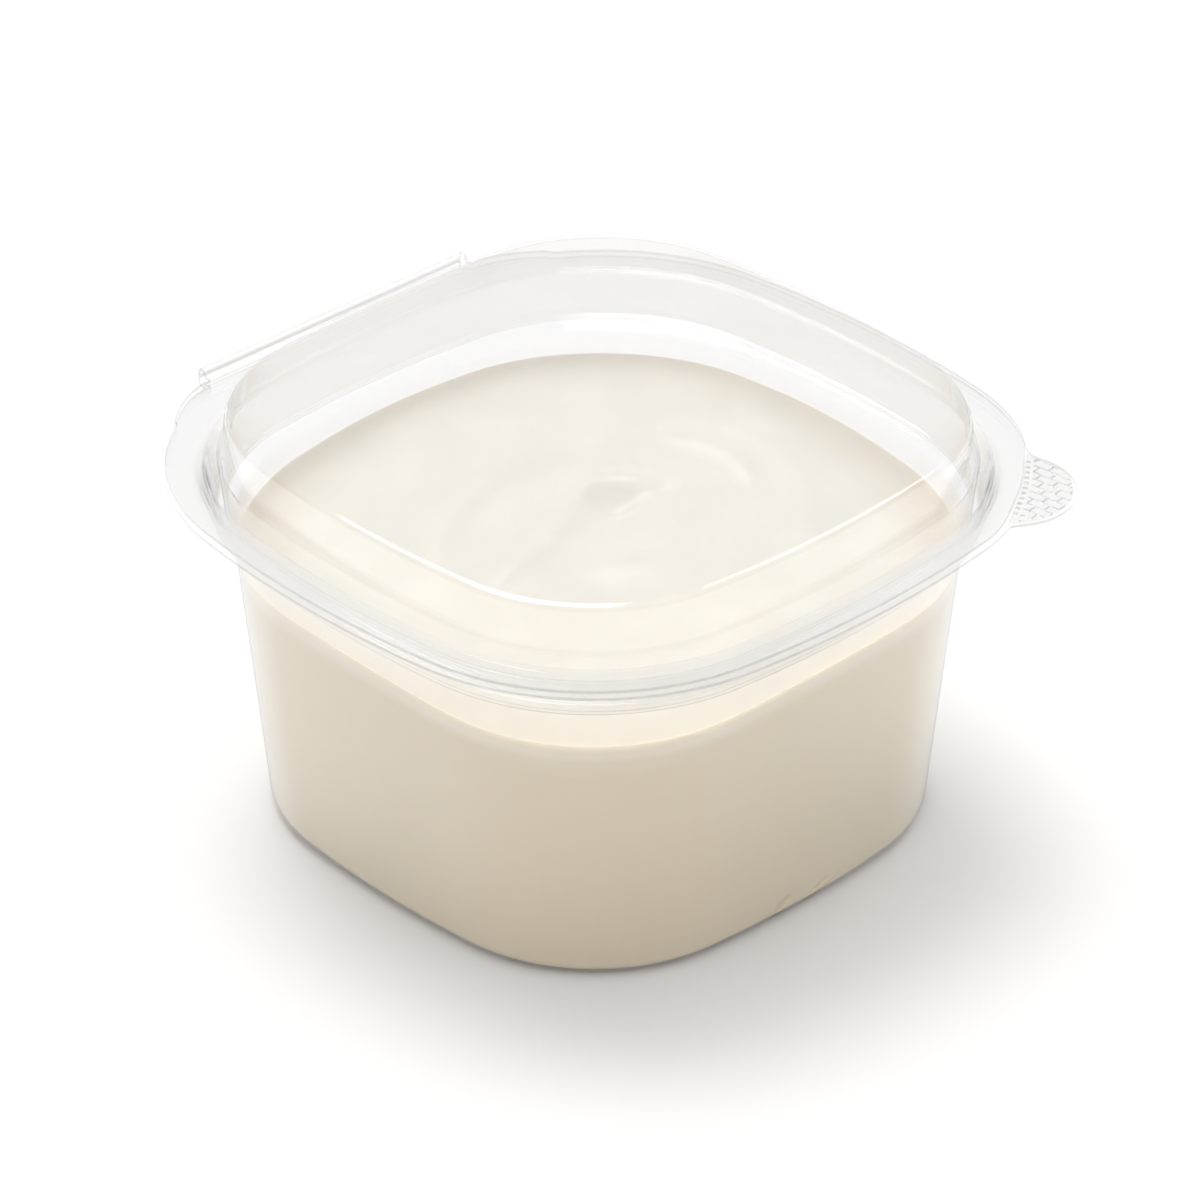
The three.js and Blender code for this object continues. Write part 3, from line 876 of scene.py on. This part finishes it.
def makeFilling(material):
    print("filling it with mayonnaise")
    angles = columnAngles(dentColumns())
    outside = softenProfile(tubProfile(), formedSheet["bendRadius"], formedSheet["longestRow"])
    wall = offsetProfile(outside, formedSheet["thickness"] - filling["intoWall"])
    wet = wall[wall[:, 2] < filling["wallLevel"] - filling["straightSide"]]
    lowest, highest = wet[-1][2] - filling["wallSpare"], tub["wallTop"][2] - filling["wallSpare"]
    above = wall[(wall[:, 2] > lowest) & (wall[:, 2] < highest)]

    # The side: level rows up the wall, and then rows that follow the contact line
    sides = pressDents(squareGrid(wet, angles))
    contact = contactHeight(sides[-1, :, 0], sides[-1, :, 1])
    for share in np.linspace(0, 1, filling["contactRows"])[1:]:
        height = wet[-1][2] + (contact - wet[-1][2]) * share
        halfWidth = np.interp(height, above[:, 2], above[:, 0])
        radius = squareRadius(angles, halfWidth, np.interp(height, above[:, 2], above[:, 1]))
        row = np.column_stack([radius * np.cos(angles), radius * np.sin(angles), height])
        sides = np.vstack([sides, row[None]])
    # Wetted look and painted shade on the side, deepening from the contact line down
    wetAndShade = smoothStep(contact - sides[:, :, 2], 0, filling["wetShadeFade"])
    wetAndShade = np.maximum(wetAndShade, filling["rimWetShade"])

    # The surface: rings from the contact line in to the middle
    edge = np.hypot(sides[-1, :, 0], sides[-1, :, 1])
    surface, shadeNearRim = [], []
    for ring in range(1, filling["rings"] + 1):
        inward = (ring / filling["rings"]) ** filling["ringCrowding"]
        radius = edge * (1 - inward)
        x, y = radius * np.cos(angles), radius * np.sin(angles)
        surface.append(np.column_stack([x, y, fillingHeight(x, y, inward, edge * inward)]))
        # A painted shade along the wall on the free surface, fading inwards
        fade = 1 - smoothStep(edge * inward, 0, filling["rimShadeReach"])
        shadeNearRim.append(filling["rimWetShade"] * fade)
    grid = np.vstack([sides, np.array(surface)])
    return makePiece("mayonnaise_fill", grid.reshape(-1, 3),
                     gridFaces(len(grid), len(angles), True), [material], sharpAngle=70,
                     pointValues=("wetAndShade", np.vstack([wetAndShade, shadeNearRim]).ravel()))


# The studio: a white floor, a large soft light high behind the tub's left, a weak one behind
# its right, and a pale room. Azimuths are degrees to the left of straight behind the tub, as
# the camera sees it
studio = {
    "floorSize": 14.0,         # metres
    "floorColour": "#eeeeee",
    "floorGrain": 35.0,        # millimetres, slight unevenness of its finish
    "floorGrainDetail": 2.0,
    "floorRoughness": (0.55, 0.65),
    "floorSheen": 0.1,
    "keyPower": 185.0,         # watts
    "keySize": 3.8,
    "keyAzimuth": 30.0,
    "keyElevation": 66.0,
    "fillPower": 17.0,
    "fillSize": 1.9,
    "fillAzimuth": -48.0,
    "fillElevation": 52.0,
    "lightDistance": 6.0,
    "zenith": 0.92,            # brightness of the room overhead
    "zenithFrom": 0.8,         # and the sine of the elevation where it is reached
    "horizon": 0.68,
    "backdrop": 1.0,           # what the camera sees beyond the floor
}

# The camera stands where the photograph was taken from, with its lens
camera = {
    "azimuth": -43.5574,
    "elevation": 31.9513,
    "distance": 841.305,
    "target": (0.2035, -0.1935, 32.478),
    "fieldOfView": 11.7133,    # degrees across the whole square picture
    "clip": (0.05, 30),        # metres
}


def addSoftbox(name, power, size, azimuth, elevation):
    light = bpy.data.lights.new(name, "AREA")
    light.shape = "DISK"
    light.energy = power
    light.size = size
    box = bpy.data.objects.new(name, light)
    azimuth = math.radians(90 + camera["azimuth"] + azimuth)
    elevation = math.radians(elevation)
    towards = Vector((math.cos(azimuth) * math.cos(elevation),
                      math.sin(azimuth) * math.cos(elevation), math.sin(elevation)))
    box.location = towards * studio["lightDistance"]
    box.rotation_euler = towards.to_track_quat("Z", "Y").to_euler()
    bpy.context.collection.objects.link(box)


# Matt white paint on a flat board: it shows soft shadows and mirrors next to nothing
def mattFloor():
    material, tree = newMaterial("matt white studio floor")
    grain = addNode(tree, "ShaderNodeTexNoise", inputs={
        "Scale": studio["floorSize"] / (studio["floorGrain"] * metresPerMillimetre),
        "Detail": studio["floorGrainDetail"],
    })
    shade = addNode(tree, "ShaderNodeMapRange", inputs={
        "Value": grain.outputs["Fac"],
        "To Min": studio["floorRoughness"][0],
        "To Max": studio["floorRoughness"][1],
    })
    surface = addNode(tree, "ShaderNodeBsdfPrincipled", inputs={
        "Base Color": linearColour(studio["floorColour"]),
        "Roughness": shade.outputs[0],
        "Specular IOR Level": studio["floorSheen"],
    })
    addNode(tree, "ShaderNodeOutputMaterial", inputs={"Surface": surface.outputs[0]})
    return material


# The room that lights the tub, brighter overhead, and a white backdrop for the camera alone
def paleRoom():
    world = bpy.data.worlds.new("pale studio")
    bpy.context.scene.world = world
    world.use_nodes = True
    tree = world.node_tree
    tree.nodes.clear()
    direction = addNode(tree, "ShaderNodeTexCoord").outputs["Generated"]
    height = addNode(tree, "ShaderNodeSeparateXYZ", inputs={0: direction}).outputs["Z"]
    bright = addNode(tree, "ShaderNodeMapRange", inputs={
        "Value": height,
        "From Min": 0.0,
        "From Max": studio["zenithFrom"],
        "To Min": studio["horizon"],
        "To Max": studio["zenith"],
    })
    room = addNode(tree, "ShaderNodeBackground", inputs={
        "Color": white, "Strength": bright.outputs[0]})
    backdrop = addNode(tree, "ShaderNodeBackground", inputs={
        "Color": white, "Strength": studio["backdrop"]})
    seen = addNode(tree, "ShaderNodeLightPath").outputs["Is Camera Ray"]
    both = addNode(tree, "ShaderNodeMixShader", inputs={
        0: seen, 1: room.outputs[0], 2: backdrop.outputs[0]})
    addNode(tree, "ShaderNodeOutputWorld", inputs={"Surface": both.outputs[0]})
    world.cycles.sampling_method = "NONE"      # an even room needs no sampling of its own


def makeStudio():
    print("setting up the studio")
    half = studio["floorSize"] / 2
    mesh = bpy.data.meshes.new("studio_floor")
    mesh.from_pydata([(-half, -half, 0), (half, -half, 0), (half, half, 0), (-half, half, 0)],
                     [], [(0, 1, 2, 3)])
    mesh.materials.append(mattFloor())
    floor = bpy.data.objects.new("studio_floor", mesh)
    bpy.context.collection.objects.link(floor)
    paleRoom()
    addSoftbox("key softbox", studio["keyPower"], studio["keySize"],
               studio["keyAzimuth"], studio["keyElevation"])
    addSoftbox("fill softbox", studio["fillPower"], studio["fillSize"],
               studio["fillAzimuth"], studio["fillElevation"])


def makeCamera():
    print("placing the camera")
    azimuth, elevation = math.radians(camera["azimuth"]), math.radians(camera["elevation"])
    back = Vector((math.sin(azimuth) * math.cos(elevation),
                   -math.cos(azimuth) * math.cos(elevation), math.sin(elevation)))
    lens = bpy.data.cameras.new("camera")
    lens.sensor_fit = "HORIZONTAL"
    lens.angle = math.radians(camera["fieldOfView"])
    lens.clip_start, lens.clip_end = camera["clip"]
    viewer = bpy.data.objects.new("camera", lens)
    target = Vector(camera["target"])
    viewer.location = (target + back * camera["distance"]) * metresPerMillimetre
    viewer.rotation_euler = back.to_track_quat("Z", "Y").to_euler()
    bpy.context.collection.objects.link(viewer)
    bpy.context.scene.camera = viewer


makeCamera()
makeStudio()
clearPet = thermoformedPet("thermoformed PET", petLooks["faceTint"], petLooks["faceEdge"])
cutPet = thermoformedPet("die-cut PET edge", petLooks["cutTint"], petLooks["cutEdge"])
embossedPet = thermoformedPet("embossed PET ribs", petLooks["embossTint"], petLooks["faceEdge"])
tubSheet = makeTub([clearPet, cutPet])
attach(tubSheet, "tub")
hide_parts("tub")
tabGrip = makeGrip([embossedPet, clearPet])
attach(tabGrip, "tub")
lidSheet = makeLid([clearPet, cutPet])
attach(lidSheet, "lid")
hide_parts("lid")
mayonnaiseFill = makeFilling(whippedMayonnaise())
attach(mayonnaiseFill, "tub")
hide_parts("mayonnaise")

scene = bpy.context.scene
scene.view_settings.view_transform = "Standard"

# A line of sight can cross a dozen faces of clear sheet, and each of them mirrors too
rayLimits = {
    "transparent_max_bounces": 24,
    "max_bounces": 10,
    "diffuse_bounces": 3,
    "glossy_bounces": 8,
}
for limit, count in rayLimits.items():
    setattr(scene.cycles, limit, count)

print("done")
